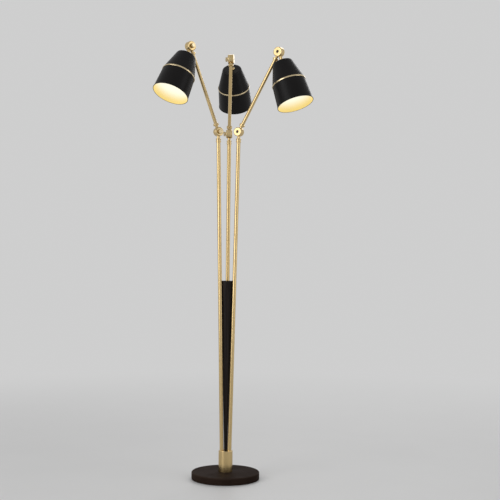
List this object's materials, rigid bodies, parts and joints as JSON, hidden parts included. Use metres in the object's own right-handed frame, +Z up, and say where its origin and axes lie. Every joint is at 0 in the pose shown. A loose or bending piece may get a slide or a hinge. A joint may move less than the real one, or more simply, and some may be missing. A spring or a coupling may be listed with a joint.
{
  "type": "floor lamp",
  "caption": "Free-standing floor lamp: spreading brass rods rise from a round weighted base and carry tilting arms, each with a swivelling metal shade.",
  "frame": {"origin": "on the floor under the centre of the round base", "axes": "+Z up; -Y is the front, seen in the picture; +X on the right of someone who looks at the front"},
  "size_m": [0.5712, 0.5729, 1.5985],
  "materials": {
    "brass": "satin",
    "base_lacquer": "satin",
    "shade_lacquer": "satin",
    "spike_lacquer": "satin",
    "iron": "matte",
    "felt": "matte",
    "grommet_rubber": "matte",
    "steel": "satin",
    "holder_plastic": "matte",
    "bulb_metal": "satin",
    "bulb_glass": "matte"
  },
  "bodies": {
    "stand": {"base_pad": "felt", "base_weight": "iron", "base_cover": "base_lacquer", "cord_grommet": "grommet_rubber", "base_bolt": "steel", "base_washer": "steel", "rod_socket": "brass", "rod_left": "brass", "rod_right": "brass", "rod_back": "brass", "spike": "spike_lacquer", "spike_stud": "steel", "hub_knuckle_left": "brass", "hub_knuckle_right": "brass", "hub_knuckle_back": "brass"},
    "arm_left": {"arm_knuckle_left": "brass", "hub_bolt_left": "steel", "hub_knob_left": "brass", "arm_tube_left": "brass"},
    "head_left": {"head_knuckle_left": "brass", "head_bolt_left": "steel", "head_knob_left": "brass"},
    "shade_left": {"shade_knuckle_left": "brass", "shade_shell_left": "shade_lacquer", "shade_ring_left": "brass", "shade_locknut_left": "steel", "lamp_holder_left": "holder_plastic", "bulb_cap_left": "bulb_metal", "bulb_glass_left": "bulb_glass"},
    "arm_right": {"arm_knuckle_right": "brass", "hub_bolt_right": "steel", "hub_knob_right": "brass", "arm_tube_right": "brass"},
    "head_right": {"head_knuckle_right": "brass", "head_bolt_right": "steel", "head_knob_right": "brass"},
    "shade_right": {"shade_knuckle_right": "brass", "shade_shell_right": "shade_lacquer", "shade_ring_right": "brass", "shade_locknut_right": "steel", "lamp_holder_right": "holder_plastic", "bulb_cap_right": "bulb_metal", "bulb_glass_right": "bulb_glass"},
    "arm_back": {"arm_knuckle_back": "brass", "hub_bolt_back": "steel", "hub_knob_back": "brass", "arm_tube_back": "brass"},
    "head_back": {"head_knuckle_back": "brass", "head_bolt_back": "steel", "head_knob_back": "brass"},
    "shade_back": {"shade_knuckle_back": "brass", "shade_shell_back": "shade_lacquer", "shade_ring_back": "brass", "shade_locknut_back": "steel", "lamp_holder_back": "holder_plastic", "bulb_cap_back": "bulb_metal", "bulb_glass_back": "bulb_glass"}
  },
  "joints": [
    {"name": "arm_tilt_left", "type": "hinge", "parent": "stand", "child": "arm_left", "pos_m": [-0.03841, -0.02042, 1.278], "axis": [0.4695, -0.8829, 0], "range_deg": [-16.3, 68.7]},
    {"name": "head_swivel_left", "type": "hinge", "parent": "arm_left", "child": "head_left", "pos_m": [-0.13206, -0.07022, 1.55005], "axis": [-0.3207, -0.1705, 0.9317], "range_deg": [-101.8, 78.2]},
    {"name": "shade_tilt_left", "type": "hinge", "parent": "head_left", "child": "shade_left", "pos_m": [-0.14233, -0.07568, 1.57987], "axis": [0.6278, -0.7748, 0.0743], "range_deg": [-131.5, 2.5]},
    {"name": "arm_tilt_right", "type": "hinge", "parent": "stand", "child": "arm_right", "pos_m": [0.03689, -0.02305, 1.278], "axis": [0.5299, 0.848, 0], "range_deg": [-25.8, 59.2]},
    {"name": "head_swivel_right", "type": "hinge", "parent": "arm_right", "child": "head_right", "pos_m": [0.16369, -0.10228, 1.52882], "axis": [0.4342, -0.2713, 0.859], "range_deg": [-85.8, 94.2]},
    {"name": "shade_tilt_right", "type": "hinge", "parent": "head_right", "child": "shade_right", "pos_m": [0.17758, -0.11097, 1.5563], "axis": [0.5818, 0.8124, -0.0375], "range_deg": [-127.8, 6.2]},
    {"name": "arm_tilt_back", "type": "hinge", "parent": "stand", "child": "arm_back", "pos_m": [0.00152, 0.04347, 1.278], "axis": [-0.9994, 0.0349, 0], "range_deg": [-16.1, 68.9]},
    {"name": "head_swivel_back", "type": "hinge", "parent": "arm_back", "child": "head_back", "pos_m": [0.00519, 0.14853, 1.55042], "axis": [0.0126, 0.3598, 0.933], "range_deg": [-85.3, 94.7]},
    {"name": "shade_tilt_back", "type": "hinge", "parent": "head_back", "child": "shade_back", "pos_m": [0.00559, 0.16004, 1.58028], "axis": [-0.9934, 0.1112, -0.0295], "range_deg": [-117.6, 16.4]}
  ]
}
